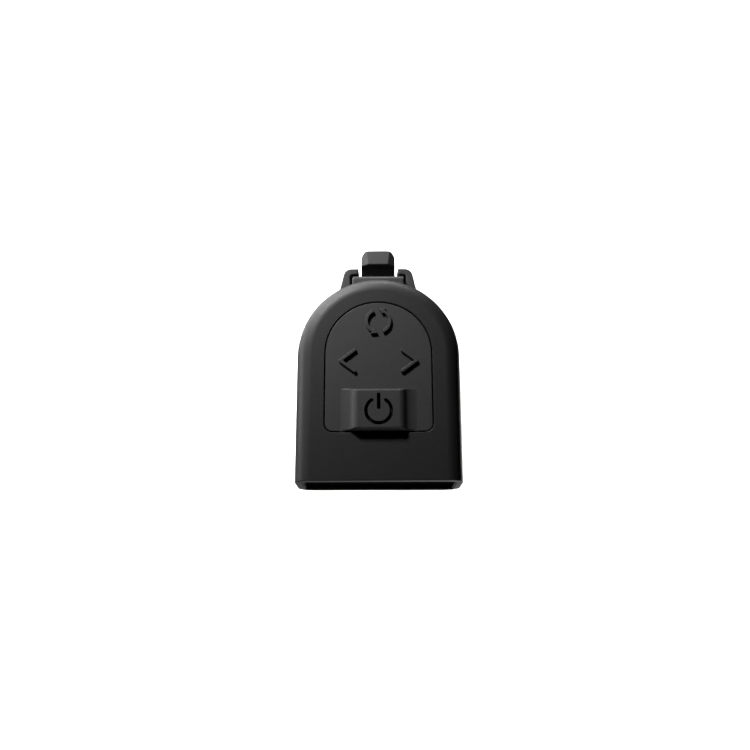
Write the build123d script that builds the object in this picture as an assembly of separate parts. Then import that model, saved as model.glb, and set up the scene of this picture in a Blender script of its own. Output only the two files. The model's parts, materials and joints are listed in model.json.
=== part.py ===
from build123d import *
import math
import os

# Clip-on headstock tuner: a D-shaped tuner head on a swivel, carried by a
# ratcheting slide clamp.  Millimetres, +Z is the normal of the key face,
# +Y points from the display end to the rail end.  The origin is on the swivel
# axis, at the lower face of the fixed clamping pad.
# Everything is drawn about the centre of the head's round end and then moved
# by -SWIVEL_Y, so that the swivel axis lands on the origin.

# ---------------------------------------------------------------- dimensions
SWIVEL_Y = 9.0            # swivel axis, measured from the centre of the dome

# head shell
HEAD_R = 13.88            # half width and dome radius
HEAD_END = -21.5          # display end, at the key face
LEAN = 0.45 / 11.0        # the display end leans out towards the back
HEAD_Z0 = 4.3             # underside of the rear cover
SPLIT_Z = 5.6             # joint between the rear cover and the front housing
HEAD_Z1 = 15.3            # key face
WALL = 1.25
FACE_T = 1.4
EDGE_R = 2.6              # rounding between the key face and the sides
BACK_R = 3.0              # rounding of the rear edge

# key plate
KEY_R = 8.91              # half width and arc radius of the key plate
KEY_GAP = 0.18            # groove round it
KEY_END = -13.36          # display-side edge of the key plate
KEY_FLANGE = 0.85         # retaining flange beyond the plate's outline
TILT_Y = -2.0             # the rocker pivots about this point
TILT_Z = 13.6
PIVOT_Z0, PIVOT_Z1 = 10.5, 12.3
BLOCK_TOP = 1.3           # height of the power pad above the plate
BLOCK_Y0, BLOCK_Y1 = -13.36, -6.15
RIB_H, RIB_W = 0.45, 0.56
ENGRAVE = 1.1

# battery and its door
CELL_R, CELL_T, CELL_Y = 10.0, 3.2, -5.3
CELL_Z = 5.85
DOOR_R, DOOR_HOLE_R = 10.46, 10.54
LUG_R, LUG_T, LUG_HALF = 11.3, 0.5, 12.0

# screws of the head
BOSS_XY = [(7.88, 7.88), (-7.88, 7.88), (11.05, -15.2), (-11.05, -15.2)]
BOSS_R = 1.55
SCREW_R = 0.7

# clamp
PAD_T = 1.4
ARM_Z0, ARM_Z1 = 1.4, 3.4
ARM_W = 4.87              # half width of the arm over the rail
ARM_END = 18.27
JAW_W = 7.0               # half width of both jaws
JAW_Y0, JAW_Y1 = -4.0, 13.5
RAIL_W = 5.1
RAIL_Y0, RAIL_Y1 = 16.3, 19.8
RAIL_BOTTOM = -24.3
RACK_W, RACK_DEPTH, RACK_PITCH = 3.2, 0.42, 1.0
RACK_TOP, RACK_BOTTOM = -4.0, -23.9
GAP = 4.6                 # opening between the pads as stored
CAR_TOP = -0.2            # top of the sliding carriage
CAR_BOTTOM = -10.4
SIDE_IN = 5.35            # inner face of the carriage's side arms
LIP_IN = 3.84
LIP_Y0, LIP_Y1 = 20.16, 21.43
PIN_Y, PIN_Z, PIN_R = 21.6, -6.9, 0.75
LEVER_W = 3.3
TAB_Z = -0.7

os.makedirs("parts", exist_ok=True)


# ------------------------------------------------------------------- helpers
def box(x0, x1, y0, y1, z0, z1):
    return Pos((x0 + x1) / 2, (y0 + y1) / 2, (z0 + z1) / 2) * Box(
        abs(x1 - x0), abs(y1 - y0), abs(z1 - z0))


def cyl(r, x, y, z0, z1):
    return Pos(x, y, (z0 + z1) / 2) * Cylinder(r, z1 - z0)


def xcyl(r, x0, x1, y, z):
    return Pos((x0 + x1) / 2, y, z) * Rot(0, 90, 0) * Cylinder(r, abs(x1 - x0))


def ring(ro, ri, x, y, z0, z1):
    return cyl(ro, x, y, z0, z1) - cyl(ri, x, y, z0 - 1, z1 + 1)


def arch_face(r, y_end, corner=0.0, cy=0.0):
    """Outline with parallel sides, a round end at +Y and a flat end at y_end."""
    body = Pos(0, (cy + y_end) / 2) * Rectangle(2 * r, cy - y_end) + Pos(0, cy) * Circle(r)
    face = body.faces()[0] if len(body.faces()) == 1 else body.clean().faces()[0]
    if corner > 0:
        pts = [v for v in face.vertices() if abs(v.Y - y_end) < 1e-6]
        face = fillet(pts, corner)
        face = face.faces()[0]
    return face


def prism(face, z0, z1):
    return extrude(Pos(0, 0, z0) * face, z1 - z0, dir=(0, 0, 1))


def wedge(cx, cy, r, a0, a1, z0, z1):
    """Sector of a disc between two angles in degrees."""
    n = 12
    pts = [(cx, cy)]
    for i in range(n + 1):
        a = math.radians(a0 + (a1 - a0) * i / n)
        pts.append((cx + r * 1.3 * math.cos(a), cy + r * 1.3 * math.sin(a)))
    sector = prism(make_face(Polyline(*pts, close=True)), z0, z1)
    return sector & cyl(r, cx, cy, z0, z1)


def yz_solid(pts, x0, x1):
    """Profile given as (y, z) points, extruded along X."""
    f = make_face(Polyline(*[(0, y, z) for y, z in pts], close=True))
    s = extrude(f, x1 - x0, dir=(1, 0, 0))
    return Pos(x0, 0, 0) * s


def xz_solid(pts, y0, y1):
    f = make_face(Polyline(*[(x, 0, z) for x, z in pts], close=True))
    s = extrude(f, y1 - y0, dir=(0, 1, 0))
    return Pos(0, y0, 0) * s


def xy_solid(pts, z0, z1):
    return prism(make_face(Polyline(*pts, close=True)), z0, z1)


def one(shape):
    s = shape.solids()
    return s[0] if len(s) == 1 else Compound(children=list(s))


def try_fillet(shape, edges, radius):
    for k in (1.0, 0.8, 0.6, 0.4, 0.25):
        try:
            out = fillet(edges, radius * k)
            if out.is_valid and out.volume > 0:
                return out
        except Exception:
            pass
    print("no fillet", radius)
    return shape


NODES = {}


def put(name, shape):
    NODES[name] = shape


# --------------------------------------------------------------- front housing
outer = arch_face(HEAD_R, HEAD_END - 1.5)
body = prism(outer, HEAD_Z0, HEAD_Z1)
top_edges = [e for e in body.edges() if abs(e.center().Z - HEAD_Z1) < 1e-4
             and abs(e.center().Y - (HEAD_END - 1.5)) > 1e-3]
body = fillet(top_edges, EDGE_R)
back_edges = [e for e in body.edges() if abs(e.center().Z - HEAD_Z0) < 1e-4
              and abs(e.center().Y - (HEAD_END - 1.5)) > 1e-3]
body = fillet(back_edges, BACK_R)


def end_y(z, inset=0.0):
    """The display end at height z, or a parallel plane inset behind it."""
    return HEAD_END - LEAN * (HEAD_Z1 - z) + inset


end_cut = yz_solid([(end_y(0), 0), (end_y(20), 20), (-30, 20), (-30, 0)], -20, 20)
body = body - end_cut
end_edges = [e for e in body.edges() if abs(e.center().Z - HEAD_Z1) < 1e-4 and abs(e.center().Y - HEAD_END) < 1e-3]
body = try_fillet(body, end_edges, 0.15)
front = body & box(-20, 20, -40, 40, SPLIT_Z, 20)

inner_r = HEAD_R - WALL
cavity = prism(arch_face(inner_r, HEAD_END - 2), SPLIT_Z - 1, HEAD_Z1 - FACE_T)
cav_edges = [e for e in cavity.edges() if abs(e.center().Z - (HEAD_Z1 - FACE_T)) < 1e-4
             and abs(e.center().Y - (HEAD_END - 2)) > 1e-3]
cavity = fillet(cav_edges, 1.3)
front = front - cavity

# thin inner bevel of the window frame
rim = prism(arch_face(inner_r + 0.22, HEAD_END - 2), SPLIT_Z - 1, HEAD_Z1 - FACE_T + 0.22)
rim_edges = [e for e in rim.edges() if abs(e.center().Z - (HEAD_Z1 - FACE_T + 0.22)) < 1e-4
             and abs(e.center().Y - (HEAD_END - 2)) > 1e-3]
rim = fillet(rim_edges, 1.4) & yz_solid([(end_y(0, 0.25), 0), (end_y(20, 0.25), 20), (-30, 20), (-30, 0)], -20, 20)
front = front - rim

# opening for the key plate
key_hole = prism(arch_face(KEY_R + KEY_GAP, KEY_END - KEY_GAP, 1.55), HEAD_Z1 - FACE_T - 0.5, HEAD_Z1 + 1)
front = front - key_hole
hole_edges = [e for e in front.edges() if abs(e.center().Z - HEAD_Z1) < 1e-4
              and e.bounding_box().max.Y < KEY_R + 1.0 and e.bounding_box().min.Y > KEY_END - 0.6
              and abs(e.center().X) < KEY_R + 1.0]
front = try_fillet(front, hole_edges, 0.1)

# screw bosses and the stops behind the window
inner_env = prism(arch_face(HEAD_R - 0.9, HEAD_END + 0.9), 7.6, HEAD_Z1 - 1.0)
for bx, by in BOSS_XY:
    front = front + ((cyl(BOSS_R, bx, by, 7.65, HEAD_Z1 - 1.0)) & inner_env)
for s in (1, -1):
    front = front + box(s * 11.75, s * (inner_r + 0.2), -19.6, -18.9, 7.6, 13.2)
for bx, by in BOSS_XY:
    front = front - cyl(SCREW_R + 0.01, bx, by, 7.0, 13.6)
# a small relief keeps the bosses off the moving key plate
front = front - (prism(arch_face(KEY_R + KEY_FLANGE + 0.45, KEY_END - KEY_FLANGE - 0.45, 2.0), 10.9, HEAD_Z1 - FACE_T))
put("front_housing", front)

# ------------------------------------------------------------------ rear cover
cover = body & box(-20, 20, -40, 40, 0, SPLIT_Z)
lip = prism(arch_face(inner_r - 0.05, -18.6), SPLIT_Z, 7.1) - prism(
    arch_face(inner_r - 0.8, -19.5), SPLIT_Z - 1, 8)
cover = cover + lip
for bx, by in BOSS_XY:
    cover = cover + (cyl(2.1, bx, by, HEAD_Z0 + 0.4, 7.6) & prism(
        arch_face(inner_r - 0.05, -18.6), HEAD_Z0, 8))
# window sill at the display end
cover = cover + box(-inner_r + 0.1, inner_r - 0.1, -19.55, -19.05, SPLIT_Z - 0.2, 6.3)
# swivel spigot below, its boss above
cover = cover + cyl(2.0, 0, SWIVEL_Y, 2.28, HEAD_Z0 + 0.3) + cyl(2.2, 0, SWIVEL_Y, SPLIT_Z - 0.3, 8.6)
cover = cover - cyl(0.81, 0, SWIVEL_Y, 0, 7.9)
cover = cover - cyl(DOOR_HOLE_R, 0, CELL_Y, HEAD_Z0 - 1, 9)
LUGS = (90.0, 210.0, 330.0)
for a in LUGS:
    cover = cover - wedge(0, CELL_Y, LUG_R + 0.12, a + 45 - LUG_HALF - 2, a + 45 + LUG_HALF + 2,
                          HEAD_Z0 - 1, SPLIT_Z + 1)
for bx, by in BOSS_XY:
    cover = cover - cyl(1.5, bx, by, HEAD_Z0 - 1, 6.1) - cyl(SCREW_R + 0.05, bx, by, 4, 9)
put("rear_cover", cover)

# ---------------------------------------------------------------- battery door
door = cyl(DOOR_R, 0, CELL_Y, HEAD_Z0, SPLIT_Z - 0.05)
door = try_fillet(door, [e for e in door.edges() if abs(e.center().Z - HEAD_Z0) < 1e-4], 0.25)
for a in LUGS:
    lug = wedge(0, CELL_Y, LUG_R, a - LUG_HALF, a + LUG_HALF, SPLIT_Z + 0.05, SPLIT_Z + 0.05 + LUG_T)
    lug = lug - cyl(DOOR_R - 1.0, 0, CELL_Y, 0, 9)
    foot = wedge(0, CELL_Y, DOOR_R, a - LUG_HALF, a + LUG_HALF, SPLIT_Z - 0.1, SPLIT_Z + 0.06) - cyl(
        DOOR_R - 1.0, 0, CELL_Y, 0, 9)
    door = door + lug + foot
door = door - cyl(CELL_R + 0.12, 0, CELL_Y, SPLIT_Z - 0.05, 9)
slot = box(-5.2, 5.2, CELL_Y - 0.9, CELL_Y + 0.9, HEAD_Z0 - 1, HEAD_Z0 + 0.75) & cyl(5.2, 0, CELL_Y, 0, 9)
door = door - slot
# small witness dot that shows the locked position
door = door - cyl(0.45, 0, CELL_Y + 8.6, HEAD_Z0 - 1, HEAD_Z0 + 0.3)
put("battery_door", door)

# -------------------------------------------------------------- cell and cradle
can = cyl(CELL_R, 0, CELL_Y, CELL_Z, CELL_Z + CELL_T - 0.35)
can = try_fillet(can, [e for e in can.edges() if abs(e.center().Z - CELL_Z) < 1e-4], 0.4)
cell = can + cyl(CELL_R - 1.2, 0, CELL_Y, CELL_Z + CELL_T - 0.4, CELL_Z + CELL_T)
put("battery_cell", cell)

cradle = ring(10.95, 10.14, 0, CELL_Y, 6.3, 9.6)
for a in (52.0, 172.0, 292.0):
    cradle = cradle + (wedge(0, CELL_Y, 10.95, a - 8, a + 8, SPLIT_Z, 6.35) - cyl(10.62, 0, CELL_Y, 0, 9))
cradle = cradle - box(-12, -9.0, CELL_Y - 2.0, CELL_Y + 2.0, 6.6, 9.61)
put("battery_cradle", cradle)

plus = box(-11.0, -10.75, CELL_Y - 1.8, CELL_Y + 1.8, 6.9, 9.6)
plus = plus + box(-10.9, -10.02, CELL_Y - 1.2, CELL_Y + 1.2, 7.5, 7.75)
put("battery_contact_plus", plus)
minus = box(-1.2, 1.2, CELL_Y - 5.0, CELL_Y + 5.0, 9.4, 9.6) + cyl(1.0, 0, CELL_Y + 3.6, 9.07, 9.45) + cyl(
    1.0, 0, CELL_Y - 3.6, 9.07, 9.45)
put("battery_contact_minus", minus)

# ------------------------------------------------------------------ electronics
pcb = prism(arch_face(12.3, -16.4), 9.6, 10.4)
for bx, by in BOSS_XY:
    pcb = pcb - cyl(1.75, bx, by, 9, 11)
    pcb = pcb - box(min(bx, bx * 1.3), max(bx, bx * 1.3), by - 1.75, by + 1.75, 9, 11)
put("circuit_board", pcb)

chip = box(-8.2, -3.6, -12.4, -7.8, 10.4, 11.15)
chip = try_fillet(chip, [e for e in chip.edges() if abs(e.center().Z - 11.15) < 1e-4], 0.12)
put("controller_chip", chip)
xtal = box(3.4, 6.9, -9.9, -8.3, 10.4, 11.1)
xtal = try_fillet(xtal, [e for e in xtal.edges().filter_by(Axis.Z)], 0.5)
put("crystal_oscillator", xtal)

DOMES = [(0, 5.7), (-5.4, -1.65), (5.4, -1.65), (0, -9.8)]
dome_list = []
for dx, dy in DOMES:
    cap_r, cap_h = 1.9, 0.34
    rad = (cap_r ** 2 + cap_h ** 2) / (2 * cap_h)
    s = (Pos(dx, dy, 10.4 + cap_h - rad) * Sphere(rad)) & box(dx - 2.5, dx + 2.5, dy - 2.5, dy + 2.5, 10.4, 11.4)
    dome_list.append(one(s))
put("snap_domes", Compound(children=dome_list))

LZ0, LZ1 = SPLIT_Z + 0.02, HEAD_Z1 - FACE_T - 0.04
lens = box(-inner_r + 0.04, inner_r - 0.04, -24, -18, LZ0, LZ1)
lens = fillet([e for e in lens.edges().filter_by(Axis.Y) if e.center().Z > 12], 1.3)
lens = lens & yz_solid([(end_y(4, 0.8), 4), (end_y(16, 0.8), 16), (end_y(16, 1.84), 16), (end_y(4, 1.84), 4)], -20, 20)
put("display_window", lens)
put("lcd_panel", box(-11.6, 11.6, -19.62 + 0.62, -17.5, 6.4, 13.5))
put("backlight", box(-11.4, 11.4, -17.48, -16.75, 7.7, 13.3))
flex = box(-4.5, 4.5, -16.75, -16.6, 10.4, 12.4) + box(-4.5, 4.5, -16.65, -14.4, 10.4, 10.55)
put("display_flex", flex)

piezo = cyl(3.2, 0, SWIVEL_Y, 8.6, 8.8) + cyl(2.3, 0, SWIVEL_Y, 8.75, 9.0)
put("piezo_disc", piezo)
put("piezo_leads", Compound(children=[one(cyl(0.2, -1.1, SWIVEL_Y, 9.0, 9.6)), one(cyl(0.2, 2.75, SWIVEL_Y, 8.8, 9.6))]))

screws = []
for bx, by in BOSS_XY:
    s = cyl(1.3, bx, by, 5.2, 6.1) + cyl(SCREW_R, bx, by, 6.05, 12.4)
    s = s - box(bx - 1.0, bx + 1.0, by - 0.17, by + 0.17, 5.1, 5.7) - box(
        bx - 0.17, bx + 0.17, by - 1.0, by + 1.0, 5.1, 5.7)
    screws.append(one(s))
put("housing_screws", Compound(children=screws))

# ------------------------------------------------------------ rocker and key plate
pivot = cyl(2.2, 0, TILT_Y, PIVOT_Z0, PIVOT_Z1)
pivot = try_fillet(pivot, [e for e in pivot.edges() if abs(e.center().Z - PIVOT_Z1) < 1e-4], 0.4)
pivot = try_fillet(pivot, [e for e in pivot.edges() if abs(e.center().Z - PIVOT_Z0) < 1e-4], 0.5)
put("rocker_pivot_pad", pivot)

FL_Z0, FL_Z1 = 12.3, 13.05
plate = prism(arch_face(KEY_R, KEY_END, 1.3), FL_Z0, HEAD_Z1)
flange = prism(arch_face(KEY_R + KEY_FLANGE, KEY_END - KEY_FLANGE, 2.0), FL_Z0, FL_Z1)
plate = plate + flange
plate = try_fillet(plate, [e for e in plate.edges() if abs(e.center().Z - HEAD_Z1) < 1e-4], 0.12)
# raised power pad: flat crown with sloping flanks, steep far edge, slanted near edge
FLANK = [(3.42, 1.0), (3.74, 0.955), (4.04, 0.84), (4.28, 0.66), (4.47, 0.47), (4.68, 0.32),
         (5.00, 0.20), (5.45, 0.105), (5.95, 0.035), (6.30, 0.0), (6.50, -0.012)]
half = [(0.0, BLOCK_TOP)] + [(x, BLOCK_TOP * k) for x, k in FLANK]
left = Spline(*[(-x, 0, HEAD_Z1 + z) for x, z in half[:0:-1]], tangents=[(1, 0, 0.06), (1, 0, 0)])
right = Spline(*[(x, 0, HEAD_Z1 + z) for x, z in half[1:]], tangents=[(1, 0, 0), (1, 0, -0.06)])
mid = Line(left @ 1, right @ 0)
d1 = Line(right @ 1, ((right @ 1).X, 0, HEAD_Z1 - 0.6))
d2 = Line(d1 @ 1, ((left @ 0).X, 0, HEAD_Z1 - 0.6))
d3 = Line(d2 @ 1, left @ 0)
block_face = make_face([left, mid, right, d1, d2, d3])
block = extrude(block_face, BLOCK_Y1 - BLOCK_Y0, dir=(0, 1, 0))
block = Pos(0, BLOCK_Y0, 0) * block
# near edge: facet falling towards the display end, far edge: slight draft
near_cut = yz_solid([(BLOCK_Y0 + 0.32, HEAD_Z1 + BLOCK_TOP + 0.001), (BLOCK_Y0 + 0.03, HEAD_Z1 + 0.02),
                     (BLOCK_Y0 - 1, HEAD_Z1 + 0.02), (BLOCK_Y0 - 1, HEAD_Z1 + BLOCK_TOP + 1),
                     (BLOCK_Y0 + 0.32, HEAD_Z1 + BLOCK_TOP + 1)], -8, 8)
far_cut = yz_solid([(BLOCK_Y1 - 0.50, HEAD_Z1 + BLOCK_TOP + 0.001), (BLOCK_Y1 + 0.10, HEAD_Z1 - 0.26),
                    (BLOCK_Y1 + 1, HEAD_Z1 - 0.26), (BLOCK_Y1 + 1, HEAD_Z1 + BLOCK_TOP + 1),
                    (BLOCK_Y1 - 0.50, HEAD_Z1 + BLOCK_TOP + 1)], -8, 8)
block = block - near_cut - far_cut
soft = [e for e in block.edges() if e.center().Z > HEAD_Z1 + 0.2 and (
    e.center().Y > BLOCK_Y1 - 0.7 or e.center().Y < BLOCK_Y0 + 0.7) and e.length > 2.0]
block = try_fillet(block, soft, 0.24)
plate = plate + block
# hollow underside, four plungers and the seat on the pivot
hollow = prism(arch_face(KEY_R - 1.0, KEY_END + 1.0, 1.0), FL_Z0 - 1, 13.9)
plate = plate - hollow
plate = plate + cyl(2.6, 0, TILT_Y, 12.42, 14.2)
for i, (dx, dy) in enumerate(DOMES):
    plate = plate + cyl(1.0, dx, dy, 11.12 if i in (0, 3) else 11.02, 14.2)
# engraved power symbol: open ring and a bar
POWER_Y = -10.12
ZT = HEAD_Z1 + BLOCK_TOP
ring_cut = ring(2.38, 1.81, 0, POWER_Y, ZT - ENGRAVE, ZT + 1) - wedge(0, POWER_Y, 4, 90 - 33, 90 + 33, ZT - 1, ZT + 2)
for sx in (1, -1):
    a = math.radians(90 + sx * 33)
    ring_cut = ring_cut + cyl(0.285, 2.095 * math.cos(a), POWER_Y + 2.095 * math.sin(a), ZT - ENGRAVE, ZT + 1)
bar_cut = box(-0.29, 0.29, -9.66, -7.46, ZT - ENGRAVE, ZT + 1) + cyl(0.29, 0, -9.66, ZT - ENGRAVE, ZT + 1) + cyl(
    0.29, 0, -7.46, ZT - ENGRAVE, ZT + 1)
plate = plate - ring_cut - bar_cut


# raised marks: two chevrons and a pair of turning arrows
def rib(p0, p1, w=RIB_W, h=RIB_H):
    dx, dy = p1[0] - p0[0], p1[1] - p0[1]
    ln = math.hypot(dx, dy)
    ang = math.degrees(math.atan2(dy, dx))
    z0, z1 = HEAD_Z1 - 0.4, HEAD_Z1 + h
    body = Pos((p0[0] + p1[0]) / 2, (p0[1] + p1[1]) / 2, (z0 + z1) / 2) * Rot(0, 0, ang) * Box(ln, w, z1 - z0)
    return body + cyl(w / 2, p0[0], p0[1], z0, z1) + cyl(w / 2, p1[0], p1[1], z0, z1)


marks = []
for s in (1, -1):
    tip = (s * 6.4, -1.42)
    m = rib((s * 3.98, 0.42), tip) + rib(tip, (s * 3.98, -3.22))
    m = try_fillet(m, [e for e in m.edges() if abs(e.center().Z - (HEAD_Z1 + RIB_H)) < 1e-4], 0.12)
    marks.append(m)
FLIP_Y, FLIP_R, FLIP_W = 5.5, 1.98, 0.54
for rot in (0, 180):
    arc = ring(FLIP_R + FLIP_W / 2, FLIP_R - FLIP_W / 2, 0, 0, HEAD_Z1 - 0.4, HEAD_Z1 + RIB_H) & wedge(
        0, 0, 4, 112, 244, HEAD_Z1 - 0.4, HEAD_Z1 + RIB_H)
    a0 = math.radians(240)
    ax, ay = FLIP_R * math.cos(a0), FLIP_R * math.sin(a0)
    # arrowhead: points along the direction of travel at the end of the arc
    tx, ty = -math.sin(a0), math.cos(a0)
    nx, ny = math.cos(a0), math.sin(a0)
    L, Wd = 1.05, 0.62
    head = [(ax + nx * Wd, ay + ny * Wd), (ax + tx * L - nx * 0.05, ay + ty * L - ny * 0.05), (ax - nx * Wd, ay - ny * Wd)]
    m = arc + xy_solid(head, HEAD_Z1 - 0.4, HEAD_Z1 + RIB_H)
    m = try_fillet(m, [e for e in m.edges() if abs(e.center().Z - (HEAD_Z1 + RIB_H)) < 1e-4], 0.1)
    marks.append(Pos(0, FLIP_Y, 0) * Rot(0, 0, rot) * m)
for m in marks:
    plate = plate + m
put("key_plate", plate)

# ----------------------------------------------------------------------- clamp
# arm over the rail, jaw plate under the head, shoulder and rail in one piece
jaw_plan = xy_solid([(-5.6, JAW_Y0), (5.6, JAW_Y0), (JAW_W, JAW_Y0 + 1.4), (JAW_W, JAW_Y1 - 1.2),
                     (JAW_W - 1.2, JAW_Y1), (-JAW_W + 1.2, JAW_Y1), (-JAW_W, JAW_Y1 - 1.2),
                     (-JAW_W, JAW_Y0 + 1.4)], ARM_Z0, ARM_Z1)
arm = box(-ARM_W, ARM_W, JAW_Y1 - 3, ARM_END, ARM_Z0, ARM_Z1)
arm = fillet([e for e in arm.edges().filter_by(Axis.Z) if e.center().Y > 15], 0.5)
shoulder = yz_solid([(RAIL_Y0, ARM_Z1 - 0.6), (RAIL_Y0, -1.5), (RAIL_Y1, -1.5), (RAIL_Y1, -0.3),
                     (ARM_END - 0.02, ARM_Z1 - 0.6)], -ARM_W, ARM_W)
rail = box(-RAIL_W, RAIL_W, RAIL_Y0, RAIL_Y1, RAIL_BOTTOM, -1.0)
rail = try_fillet(rail, rail.edges().filter_by(Axis.Z), 0.35)
gusset = yz_solid([(RAIL_Y0 + 0.1, ARM_Z0 + 0.1), (RAIL_Y0 - 1.3, ARM_Z0 + 0.1), (RAIL_Y0 + 0.1, ARM_Z0 - 1.3)],
                  -ARM_W + 0.6, ARM_W - 0.6)
bracket = jaw_plan + arm + shoulder + rail + gusset
# ratchet rack cut into the outer face of the rail
n = int((RACK_TOP - RACK_BOTTOM) / RACK_PITCH)
for i in range(n):
    zt = RACK_TOP - i * RACK_PITCH
    bracket = bracket - yz_solid([(RAIL_Y1 + 0.2, zt + 0.05), (RAIL_Y1 - RACK_DEPTH, zt - 0.1),
                                  (RAIL_Y1 + 0.2, zt - RACK_PITCH + 0.12)], -RACK_W, RACK_W)
bracket = bracket - cyl(2.05, 0, SWIVEL_Y, 0, 9) - cyl(3.25, 0, SWIVEL_Y, 0, 2.32)
# hole for the stop screw
bracket = bracket - cyl(0.76, 0, (RAIL_Y0 + RAIL_Y1) / 2 - 0.2, RAIL_BOTTOM - 1, RAIL_BOTTOM + 5.0)
soft = [e for e in bracket.edges() if abs(e.center().Z - ARM_Z1) < 1e-4
        and abs(e.center().Y - SWIVEL_Y) > 0.5 and e.center().Y < ARM_END - 0.01]
bracket = try_fillet(bracket, soft, 0.3)
put("clamp_bracket", bracket)

pad_plan = [(-5.0, JAW_Y0 + 0.4), (5.0, JAW_Y0 + 0.4), (JAW_W - 0.4, JAW_Y0 + 1.9), (JAW_W - 0.4, JAW_Y1 - 1.6),
            (JAW_W - 1.5, JAW_Y1 - 0.5), (-JAW_W + 1.5, JAW_Y1 - 0.5), (-JAW_W + 0.4, JAW_Y1 - 1.6),
            (-JAW_W + 0.4, JAW_Y0 + 1.9)]


def pad_grooves(z_face, up):
    """Two shallow bleed channels near the open side of a pad's gripping face."""
    g = None
    for y in (-2.0, -0.6):
        b = box(-9, 9, y - 0.22, y + 0.22, z_face - 0.3, z_face + 0.3)
        g = b if g is None else g + b
    return g


fixed_pad = xy_solid(pad_plan, 0.0, PAD_T) - pad_grooves(0.0, True)
put("fixed_pad", fixed_pad)
put("friction_washer", ring(3.55, 2.12, 0, SWIVEL_Y, ARM_Z1, 4.25))

sw = cyl(1.6, 0, SWIVEL_Y, 1.48, 1.9) + cyl(0.8, 0, SWIVEL_Y, 1.85, 7.4)
sw = sw - box(-1.1, 1.1, SWIVEL_Y - 0.2, SWIVEL_Y + 0.2, 1.4, 1.7) - box(
    -0.2, 0.2, SWIVEL_Y - 1.1, SWIVEL_Y + 1.1, 1.4, 1.7)
put("swivel_screw", sw)
put("swivel_washer", ring(3.0, 0.82, 0, SWIVEL_Y, 1.9, 2.28))

stop = box(-RAIL_W - 0.9, RAIL_W + 0.9, RAIL_Y0 - 0.5, RAIL_Y1 + 0.75, RAIL_BOTTOM - 1.3, RAIL_BOTTOM)
stop = try_fillet(stop, stop.edges().filter_by(Axis.Z), 1.0)
stop = try_fillet(stop, [e for e in stop.edges() if abs(e.center().Z - (RAIL_BOTTOM - 1.3)) < 1e-4], 0.5)
syc = (RAIL_Y0 + RAIL_Y1) / 2 - 0.2
stop = stop - cyl(0.76, 0, syc, RAIL_BOTTOM - 3, RAIL_BOTTOM + 1) - cyl(1.45, 0, syc, RAIL_BOTTOM - 3, RAIL_BOTTOM - 0.55)
put("rail_stop", stop)
ss = cyl(1.3, 0, syc, RAIL_BOTTOM - 1.2, RAIL_BOTTOM - 0.55) + cyl(0.75, 0, syc, RAIL_BOTTOM - 0.6, RAIL_BOTTOM + 4.6)
ss = ss - box(-0.9, 0.9, syc - 0.17, syc + 0.17, RAIL_BOTTOM - 1.4, RAIL_BOTTOM - 0.85) - box(
    -0.17, 0.17, syc - 0.9, syc + 0.9, RAIL_BOTTOM - 1.4, RAIL_BOTTOM - 0.85)
put("rail_stop_screw", ss)

# ------------------------------------------------------------------ moving jaw
JP_TOP = -GAP - PAD_T
JP_BOT = JP_TOP - 2.6
jaw = xy_solid([(-5.6, JAW_Y0), (5.6, JAW_Y0), (JAW_W, JAW_Y0 + 1.4), (JAW_W + 0.6, 15.0),
                (JAW_W + 0.6, RAIL_Y0 - 0.3), (-JAW_W - 0.6, RAIL_Y0 - 0.3), (-JAW_W - 0.6, 15.0),
                (-JAW_W, JAW_Y0 + 1.4)], JP_BOT, JP_TOP)
try:
    jaw = chamfer([e for e in jaw.edges() if abs(e.center().Z - JP_BOT) < 1e-4 and e.center().Y < JAW_Y0 + 1.5], 0.9)
except Exception as exc:
    print("jaw chamfer", exc)
jaw = jaw + box(-7.2, 7.2, 14.2, RAIL_Y0 - 0.3, CAR_BOTTOM, JP_TOP)
for s in (1, -1):
    side = xy_solid([(s * SIDE_IN, 14.2), (s * 8.08, 14.2), (s * 6.43, LIP_Y1), (s * LIP_IN, LIP_Y1),
                     (s * LIP_IN, LIP_Y0), (s * SIDE_IN, LIP_Y0)], CAR_BOTTOM, CAR_TOP)
    side = try_fillet(side, [e for e in side.edges().filter_by(Axis.Z) if abs(abs(e.center().X) - 6.43) < 0.01
                             and abs(e.center().Y - LIP_Y1) < 0.01], 1.55)
    side = try_fillet(side, [e for e in side.edges().filter_by(Axis.Z) if abs(abs(e.center().X) - SIDE_IN) < 0.01
                             and abs(e.center().Y - LIP_Y0) < 0.01], 0.5)
    jaw = jaw + side
    # lever ears, hidden below the lips
    ear = yz_solid([(LIP_Y0, -1.2), (LIP_Y1, -1.2), (22.1, -4.6), (22.75, -5.7), (22.95, -6.9), (22.75, -8.0),
                    (22.1, -8.9), (LIP_Y1, -9.4), (LIP_Y0, -9.4)], min(s * LIP_IN, s * 5.9), max(s * LIP_IN, s * 5.9))
    jaw = jaw + ear
jaw = jaw - xcyl(PIN_R, -7.0, 7.0, PIN_Y, PIN_Z)
# softened upper and outer edges of the side arms
soft = [e for e in jaw.edges() if abs(e.center().Z - CAR_TOP) < 1e-4]
jaw = try_fillet(jaw, soft, 0.3)
soft = [e for e in jaw.edges() if abs(e.center().Z - CAR_BOTTOM) < 1e-4 and abs(e.center().X) > 5.5]
jaw = try_fillet(jaw, soft, 0.35)
soft = [e for e in jaw.edges().filter_by(Axis.Z) if abs(abs(e.center().X) - 8.08) < 0.02]
jaw = try_fillet(jaw, soft, 0.6)
put("moving_jaw", jaw)

jaw_pad = xy_solid(pad_plan, JP_TOP, -GAP) - pad_grooves(-GAP, False)
put("jaw_pad", jaw_pad)

put("lever_pin", xcyl(PIN_R, -5.85, 5.85, PIN_Y, PIN_Z))

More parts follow.
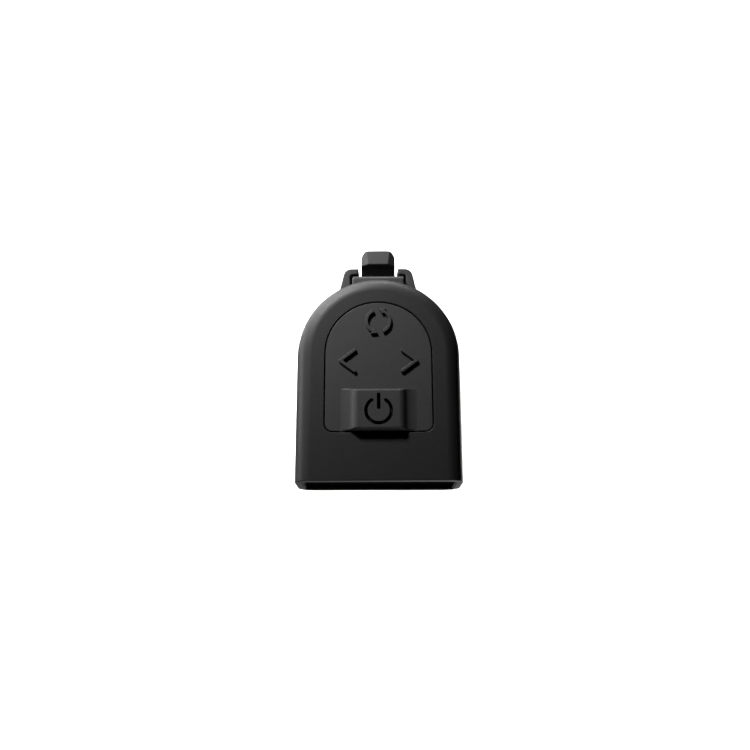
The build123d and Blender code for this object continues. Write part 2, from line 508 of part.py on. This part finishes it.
# --------------------------------------------------------------- release lever
tab = yz_solid([(22.45, TAB_Z), (25.3, TAB_Z - 0.28), (25.62, TAB_Z - 0.7), (25.45, -2.4), (23.9, -4.3),
                (23.25, -5.6), (22.95, -6.9), (22.6, -8.1), (21.8, -9.1), (21.2, -9.8), (20.5, -10.1), (19.89, -9.95),
                (20.25, -9.45), (20.4, -8.6), (20.45, -6.9), (20.45, -5.2), (20.65, -4.2), (21.3, -3.4), (22.1, -2.9),
               (22.34, -2.4)],
               -LEVER_W, LEVER_W)
plan = Pos(0, 19.62) * Rectangle(2 * LEVER_W, 12.0)
plan = fillet([v for v in plan.vertices() if v.Y > 20], 1.75)
tab = tab & prism(plan.faces()[0], -12, 2)
# bevels on both sides of the thumb tab's top
for s in (1, -1):
    f = make_face(Polyline((s * 1.9, 0, TAB_Z + 0.02), (s * (LEVER_W + 0.02), 0, TAB_Z - 1.05),
                           (s * (LEVER_W + 1), 0, TAB_Z - 1.05), (s * (LEVER_W + 1), 0, TAB_Z + 2),
                           (s * 1.9, 0, TAB_Z + 2), close=True))
    cut = Pos(0, 21.0, 0) * extrude(f, 6, dir=(0, 1, 0))
    tab = tab - cut
tab = tab - xcyl(PIN_R + 0.05, -9, 9, PIN_Y, PIN_Z)
tab = tab - xcyl(1.35, -1.1, 1.1, PIN_Y, PIN_Z) - box(-1.1, 1.1, 18, PIN_Y, PIN_Z - 1.35, PIN_Z + 1.35)
soft = [e for e in tab.edges() if e.center().Z > TAB_Z - 1.3 and e.center().Y > 22.0]
tab = try_fillet(tab, soft, 0.22)
put("release_lever", tab)

# spring: close coil round the pin with two short legs
WIRE = 0.17
coil = None
for i in range(5):
    x = -0.62 + i * 0.31
    t = Pos(x, PIN_Y, PIN_Z) * Rot(0, 90, 0) * Torus(0.98, WIRE)
    coil = t if coil is None else coil + t
put("lever_spring", coil)

# ---------------------------------------------------------------------- export
shift = Pos(0, -SWIVEL_Y, 0)
for name, shape in NODES.items():
    s = shift * shape
    sol = s.solids()
    if len(sol) == 1:
        s = sol[0]
    else:
        s = Compound(children=list(sol))
    export_step(s, "parts/" + name + ".step")
    bb = s.bounding_box()
    print(f"{name:24s} solids {len(sol)} vol {s.volume:9.2f} "
          f"x {bb.min.X:.2f}..{bb.max.X:.2f} y {bb.min.Y:.2f}..{bb.max.Y:.2f} z {bb.min.Z:.2f}..{bb.max.Z:.2f}")
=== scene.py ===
import bpy
import json
import math
from mathutils import Vector, Matrix


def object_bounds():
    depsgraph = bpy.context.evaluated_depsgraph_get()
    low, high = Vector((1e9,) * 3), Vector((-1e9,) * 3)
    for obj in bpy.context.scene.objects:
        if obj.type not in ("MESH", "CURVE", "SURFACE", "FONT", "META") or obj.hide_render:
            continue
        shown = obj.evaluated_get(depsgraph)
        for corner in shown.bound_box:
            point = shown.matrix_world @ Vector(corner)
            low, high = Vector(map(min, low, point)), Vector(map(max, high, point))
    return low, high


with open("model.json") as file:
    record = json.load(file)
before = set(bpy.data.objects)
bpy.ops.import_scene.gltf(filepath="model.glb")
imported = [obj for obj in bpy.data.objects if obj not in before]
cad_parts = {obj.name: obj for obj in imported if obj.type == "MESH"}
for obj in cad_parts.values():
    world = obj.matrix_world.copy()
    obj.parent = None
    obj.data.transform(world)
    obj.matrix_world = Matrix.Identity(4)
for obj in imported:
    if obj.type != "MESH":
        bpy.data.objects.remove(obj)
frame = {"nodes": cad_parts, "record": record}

CAD_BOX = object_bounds()
MM = 0.001
NODES = frame["nodes"]
scene = bpy.context.scene

# ------------------------------------------------------------------ camera
cam_data = bpy.data.cameras.new("camera")
cam = bpy.data.objects.new("camera", cam_data)
scene.collection.objects.link(cam)
TILT = math.radians(14.53)
DIST = 130.65 * MM
aim = Vector((0.0, -12.0, 15.3)) * MM
cam.location = aim + Vector((0.0, -DIST * math.sin(TILT), DIST * math.cos(TILT)))
ROLL = math.radians(-0.25)
cam.rotation_euler = (Matrix.Rotation(TILT, 3, "X") @ Matrix.Rotation(ROLL, 3, "Z")).to_euler()
cam_data.sensor_width = 36.0
cam_data.lens = 36.0 * 780.07 / 750.0
cam_data.shift_x = -(378.5 - 375.0) / 750.0
cam_data.shift_y = -(375.0 - 370.0) / 750.0
cam_data.clip_start = 0.001
cam_data.clip_end = 20.0
cam_data.dof.use_dof = False
scene.camera = cam

scene.view_settings.view_transform = "Standard"
scene.view_settings.look = "None"
scene.view_settings.exposure = 0.0
scene.view_settings.gamma = 1.0


# --------------------------------------------------------------- materials
class Tree:
    """Small helper for building node materials."""

    def __init__(self, name):
        self.mat = bpy.data.materials.new(name)
        self.mat.use_nodes = True
        self.nt = self.mat.node_tree
        self.nt.nodes.clear()
        self.out = self.nt.nodes.new("ShaderNodeOutputMaterial")
        self.bsdf = self.nt.nodes.new("ShaderNodeBsdfPrincipled")
        self.nt.links.new(self.bsdf.outputs["BSDF"], self.out.inputs["Surface"])
        self.coord = self.nt.nodes.new("ShaderNodeTexCoord").outputs["Object"]

    def link(self, a, b):
        self.nt.links.new(a, b)

    def scaled(self, sx=1.0, sy=1.0, sz=1.0, rot=(0, 0, 0)):
        m = self.nt.nodes.new("ShaderNodeMapping")
        m.inputs["Scale"].default_value = (sx, sy, sz)
        m.inputs["Rotation"].default_value = rot
        self.link(self.coord, m.inputs["Vector"])
        return m.outputs["Vector"]

    def noise(self, scale, detail=3.0, rough=0.55, vec=None, dist=0.0):
        n = self.nt.nodes.new("ShaderNodeTexNoise")
        n.inputs["Scale"].default_value = scale
        n.inputs["Detail"].default_value = detail
        n.inputs["Roughness"].default_value = rough
        n.inputs["Distortion"].default_value = dist
        self.link(vec if vec is not None else self.coord, n.inputs["Vector"])
        return n.outputs["Fac"]

    def voronoi(self, scale, vec=None):
        n = self.nt.nodes.new("ShaderNodeTexVoronoi")
        n.inputs["Scale"].default_value = scale
        self.link(vec if vec is not None else self.coord, n.inputs["Vector"])
        return n.outputs["Distance"]

    def ramp(self, fac, stops):
        r = self.nt.nodes.new("ShaderNodeValToRGB")
        el = r.color_ramp.elements
        while len(el) < len(stops):
            el.new(0.5)
        for e, (p, c) in zip(el, stops):
            e.position = p
            e.color = (c[0], c[1], c[2], 1.0) if not isinstance(c, float) else (c, c, c, 1.0)
        self.link(fac, r.inputs["Fac"])
        return r.outputs["Color"]

    def span(self, fac, lo, hi, flo=0.0, fhi=1.0):
        m = self.nt.nodes.new("ShaderNodeMapRange")
        m.inputs["From Min"].default_value = flo
        m.inputs["From Max"].default_value = fhi
        m.inputs["To Min"].default_value = lo
        m.inputs["To Max"].default_value = hi
        self.link(fac, m.inputs["Value"])
        return m.outputs["Result"]

    def math(self, op, a, b=None):
        m = self.nt.nodes.new("ShaderNodeMath")
        m.operation = op
        for i, v in enumerate((a, b)):
            if v is None:
                continue
            if isinstance(v, (int, float)):
                m.inputs[i].default_value = v
            else:
                self.link(v, m.inputs[i])
        return m.outputs[0]

    def mix(self, fac, a, b):
        m = self.nt.nodes.new("ShaderNodeMix")
        m.data_type = "RGBA"
        for sock, v in ((m.inputs["Factor"], fac), (m.inputs[6], a), (m.inputs[7], b)):
            if isinstance(v, tuple):
                sock.default_value = (v[0], v[1], v[2], 1.0)
            elif isinstance(v, (int, float)):
                sock.default_value = v
            else:
                self.link(v, sock)
        return m.outputs[2]

    def bump(self, height, strength, distance, normal=None):
        b = self.nt.nodes.new("ShaderNodeBump")
        b.inputs["Strength"].default_value = strength
        b.inputs["Distance"].default_value = distance
        self.link(height, b.inputs["Height"])
        if normal is not None:
            self.link(normal, b.inputs["Normal"])
        return b.outputs["Normal"]


def moulded(name, base, rough=(0.5, 0.62), grain=0.35, spec=0.5, fine=5200.0, mottle=0.12, scuff=0.0, coat=0.0,
             painted_shade_box=None):
    """Moulded black plastic with a spark-eroded grain, slow colour drift and, if asked, fine handling scuffs."""
    t = Tree(name)
    slow = t.noise(160.0, 4.0, 0.6)
    speck = t.noise(fine, 2.0, 0.6)
    mid = t.noise(1500.0, 3.0, 0.6)
    lo = tuple(c * (1.0 - mottle) for c in base)
    hi = tuple(min(1.0, c * (1.0 + mottle)) for c in base)
    col = t.mix(t.span(slow, 0.0, 1.0, 0.3, 0.7), lo, hi)
    col = t.mix(t.span(speck, 0.0, 0.5, 0.35, 0.75), col, tuple(min(1.0, c * 1.35 + 0.001) for c in base))
    r = t.span(mid, rough[0], rough[1], 0.3, 0.7)
    if scuff > 0.0:
        streak = t.noise(300.0, 5.0, 0.65, vec=t.scaled(1.0, 6.0, 6.0, (0.3, 0.2, 0.9)), dist=0.6)
        mask = t.ramp(streak, [(0.60, 0.0), (0.68, 1.0)])
        r = t.math("SUBTRACT", r, t.math("MULTIPLY", mask, scuff))
    # painted shade: key-face surfaces inside this box (the engraved power mark's recess) get a near-black colour
    # and full roughness
    if painted_shade_box is not None:
        mask = inside(t, *painted_shade_box)
        col = t.mix(mask, col, (0.0012, 0.0012, 0.0012))
        r = t.math("MAXIMUM", r, mask)
    t.link(col, t.bsdf.inputs["Base Color"])
    t.link(r, t.bsdf.inputs["Roughness"])
    t.bsdf.inputs["Specular IOR Level"].default_value = spec
    if coat > 0:
        t.bsdf.inputs["Coat Weight"].default_value = coat
        t.bsdf.inputs["Coat Roughness"].default_value = 0.3
    h = t.math("ADD", t.math("MULTIPLY", speck, 0.6), t.math("MULTIPLY", mid, 0.4))
    t.link(t.bump(h, grain, 0.00003), t.bsdf.inputs["Normal"])
    return t.mat


def inside(t, lo, hi):
    """1 inside a box in the part's own frame (mm), 0 outside."""
    sep = t.nt.nodes.new("ShaderNodeSeparateXYZ")
    t.link(t.coord, sep.inputs["Vector"])
    out = None
    for i, ax in enumerate("XYZ"):
        for op, v in (("GREATER_THAN", lo[i]), ("LESS_THAN", hi[i])):
            if v is None:
                continue
            m = t.math(op, sep.outputs[ax], v * MM)
            out = m if out is None else t.math("MULTIPLY", out, m)
    return out


def rubber(name, base):
    t = Tree(name)
    slow = t.noise(220.0, 4.0, 0.6)
    dust = t.noise(900.0, 6.0, 0.7)
    col = t.mix(t.span(slow, 0.0, 1.0, 0.3, 0.7), tuple(c * 0.8 for c in base), tuple(c * 1.25 for c in base))
    col = t.mix(t.ramp(dust, [(0.58, 0.0), (0.72, 0.35)]), col, tuple(min(1.0, c * 3.0) for c in base))
    t.link(col, t.bsdf.inputs["Base Color"])
    t.link(t.span(dust, 0.72, 0.92), t.bsdf.inputs["Roughness"])
    t.bsdf.inputs["Specular IOR Level"].default_value = 0.35
    t.bsdf.inputs["Sheen Weight"].default_value = 0.08
    t.link(t.bump(t.noise(2600.0, 3.0, 0.6), 0.5, 0.00004), t.bsdf.inputs["Normal"])
    return t.mat


def metal(name, base, rough=(0.22, 0.4), brushed=(1.0, 1.0, 1.0), stain=0.25, bump=0.15):
    t = Tree(name)
    vec = t.scaled(*brushed)
    lines = t.noise(2200.0, 4.0, 0.6, vec=vec)
    slow = t.noise(260.0, 5.0, 0.65)
    col = t.mix(t.span(slow, 0.0, stain, 0.35, 0.75), base, tuple(c * 0.45 for c in base))
    t.link(col, t.bsdf.inputs["Base Color"])
    t.bsdf.inputs["Metallic"].default_value = 1.0
    t.link(t.math("ADD", t.span(lines, rough[0], rough[1], 0.3, 0.7), t.span(slow, 0.0, 0.08)), t.bsdf.inputs["Roughness"])
    t.link(t.bump(lines, bump, 0.00002), t.bsdf.inputs["Normal"])
    return t.mat


def glass_black(name, base, rough=0.08):
    """Dark tinted window: smooth, nearly opaque, with a faint haze of dust and fine rub marks."""
    t = Tree(name)
    haze = t.noise(420.0, 5.0, 0.7)
    rub = t.noise(1800.0, 4.0, 0.6, vec=t.scaled(1.0, 1.0, 7.0, (0.0, 0.4, 0.0)), dist=0.4)
    col = t.mix(t.ramp(haze, [(0.5, 0.0), (0.8, 0.5)]), base, tuple(c * 1.8 + 0.002 for c in base))
    t.link(col, t.bsdf.inputs["Base Color"])
    t.link(t.math("ADD", t.span(haze, rough, rough + 0.06), t.math("MULTIPLY", t.ramp(rub, [(0.62, 0.0), (0.7, 1.0)]), 0.05)),
           t.bsdf.inputs["Roughness"])
    t.bsdf.inputs["Specular IOR Level"].default_value = 0.5
    t.link(t.bump(rub, 0.04, 0.00001), t.bsdf.inputs["Normal"])
    return t.mat


MATS = {
    "head_shell": moulded("head_shell", (0.0086, 0.0086, 0.0088), (0.50, 0.57), 0.30, 0.5, mottle=0.08, scuff=0.05),
    # the engraved power mark's recess is painted near-black and matte: painted shade in the hollow
    "key_face": moulded("key_face", (0.026, 0.026, 0.0265), (0.52, 0.62), 0.30, 0.5, mottle=0.08,
                        painted_shade_box=((-2.6, -21.75, None), (2.6, -16.0, 16.5))),
    "clamp_plastic": moulded("clamp_plastic", (0.028, 0.028, 0.0285), (0.46, 0.58), 0.35, 0.5, scuff=0.06),
    "cradle_plastic": moulded("cradle_plastic", (0.05, 0.05, 0.05), (0.4, 0.5), 0.2),
    "washer_nylon": moulded("washer_nylon", (0.045, 0.045, 0.045), (0.4, 0.5), 0.2),
    "chip_resin": moulded("chip_resin", (0.015, 0.015, 0.015), (0.5, 0.6), 0.4),
    "light_guide": moulded("light_guide", (0.8, 0.81, 0.8), (0.15, 0.25), 0.05, coat=0.3),
    "board": moulded("board", (0.01, 0.12, 0.04), (0.25, 0.4), 0.2, coat=0.3),
    "flex_film": moulded("flex_film", (0.38, 0.16, 0.03), (0.2, 0.3), 0.1, coat=0.3),
    "silicone": rubber("silicone", (0.25, 0.25, 0.26)),
    "pad_rubber": rubber("pad_rubber", (0.018, 0.018, 0.018)),
    "window": glass_black("window", (0.003, 0.003, 0.0035)),
    "lcd_glass": glass_black("lcd_glass", (0.03, 0.035, 0.035), 0.12),
    "nickel": metal("nickel", (0.62, 0.59, 0.54), (0.18, 0.3)),
    "cell_steel": metal("cell_steel", (0.6, 0.6, 0.6), (0.25, 0.4), (1.0, 8.0, 1.0)),
    "screw_steel": metal("screw_steel", (0.10, 0.10, 0.105), (0.3, 0.45)),
    "spring_steel": metal("spring_steel", (0.5, 0.5, 0.51), (0.2, 0.35), (8.0, 1.0, 1.0)),
    "piezo_brass": metal("piezo_brass", (0.72, 0.5, 0.2), (0.25, 0.4)),
}
SLOT = {s["node"]: s["material_slot"] for s in frame["record"]["subparts"]}


def assign(obj, mat):
    me = obj.data
    if not me.materials:
        me.materials.append(mat)
    for i in range(len(obj.material_slots)):
        obj.material_slots[i].material = mat


for name, obj in NODES.items():
    assign(obj, MATS[SLOT[name]])

# ------------------------------------------------------------------- floor
low = CAD_BOX[0][2]
bpy.ops.mesh.primitive_plane_add(size=6.0, location=(0, 0, low - 0.00005))
floor = bpy.context.object
floor.name = "floor"
ft = Tree("floor_paper")
fn = ft.noise(40.0, 4.0, 0.6)
ft.link(ft.mix(ft.span(fn, 0.0, 1.0), (0.93, 0.93, 0.93), (0.97, 0.97, 0.97)), ft.bsdf.inputs["Base Color"])
ft.bsdf.inputs["Roughness"].default_value = 0.9
ft.bsdf.inputs["Specular IOR Level"].default_value = 0.1
assign(floor, ft.mat)

# ------------------------------------------------------------------ lights
world = bpy.data.worlds.new("world")
scene.world = world
world.use_nodes = True
bg = world.node_tree.nodes["Background"]
bg.inputs["Color"].default_value = (1.0, 1.0, 1.0, 1.0)
bg.inputs["Strength"].default_value = 1.0
# a plain white background that casts no light of its own
world.cycles_visibility.diffuse = False
world.cycles_visibility.glossy = False
world.cycles_visibility.transmission = False
world.cycles_visibility.scatter = False


def area(name, loc, target, size, power, size_y=None):
    d = bpy.data.lights.new(name, "AREA")
    d.shape = "RECTANGLE"
    d.size = size
    d.size_y = size_y or size
    d.energy = power
    o = bpy.data.objects.new(name, d)
    scene.collection.objects.link(o)
    o.location = loc
    v = Vector(target) - Vector(loc)
    o.rotation_euler = v.to_track_quat("-Z", "Y").to_euler()
    o.visible_camera = False
    return o


def around(azimuth, elevation, distance, target):
    """Point at a distance from a target (mm); azimuth turns from +Y towards -X."""
    az, el = math.radians(azimuth), math.radians(elevation)
    d = (-math.sin(az) * math.cos(el), math.cos(az) * math.cos(el), math.sin(el))
    return tuple((target[i] + distance * d[i]) * MM for i in range(3))


key = area("key", around(30, 34, 160, (0, -4, 12)), (0, -0.004, 0.012), 0.03, 0.345)
# low lights stay under the key face's plane, so they only edge the sides
rim_far_left = area("rim_far_left", around(42, -8, 300, (0, -4, 12)), (0, -0.004, 0.009), 0.10, 0.42, 0.06)
rim_far = area("rim_far", around(25, -8, 300, (0, -4, 12)), (0, -0.004, 0.009), 0.10, 0.36, 0.06)
rim_left = area("rim_left", around(72, -1, 300, (0, -4, 12)), (0, -0.004, 0.009), 0.10, 0.37, 0.06)
rim_back = area("rim_back", around(-3, -4, 300, (0, -4, 12)), (0, -0.004, 0.009), 0.10, 0.39, 0.06)
rim_below_left = area("rim_below_left", around(50, -38, 300, (0, -4, 12)), (0, -0.004, 0.009), 0.10, 0.14, 0.06)
front_low_right = area("front_low_right", around(205, -35, 350, (0, -4, 12)), (0, -0.02, 0.009), 0.16, 0.52, 0.08)
front_low_left = area("front_low_left", around(170, -35, 350, (0, -4, 12)), (0, -0.02, 0.009), 0.16, 0.14, 0.08)
front_level = area("front_level", around(192, -3, 400, (0, -4, 12)), (0, -0.02, 0.009), 0.16, 0.38, 0.08)
right_low = area("right_low", around(270, -55, 300, (0, -4, 12)), (0, -0.01, 0.009), 0.10, 0.30)
under = area("under", (0.0, 0.0, -0.5), (0, 0.0, 0), 0.10, 0.5)
floor_light = area("floor_light", (0.0, 0.0, 2.5), (0, 0, 0), 6.0, 340.0)
only_floor = bpy.data.collections.new("only_floor")
only_floor.objects.link(floor)
floor_light.light_linking.receiver_collection = only_floor
floor.visible_glossy = False
floor.visible_diffuse = False
floor.visible_shadow = False
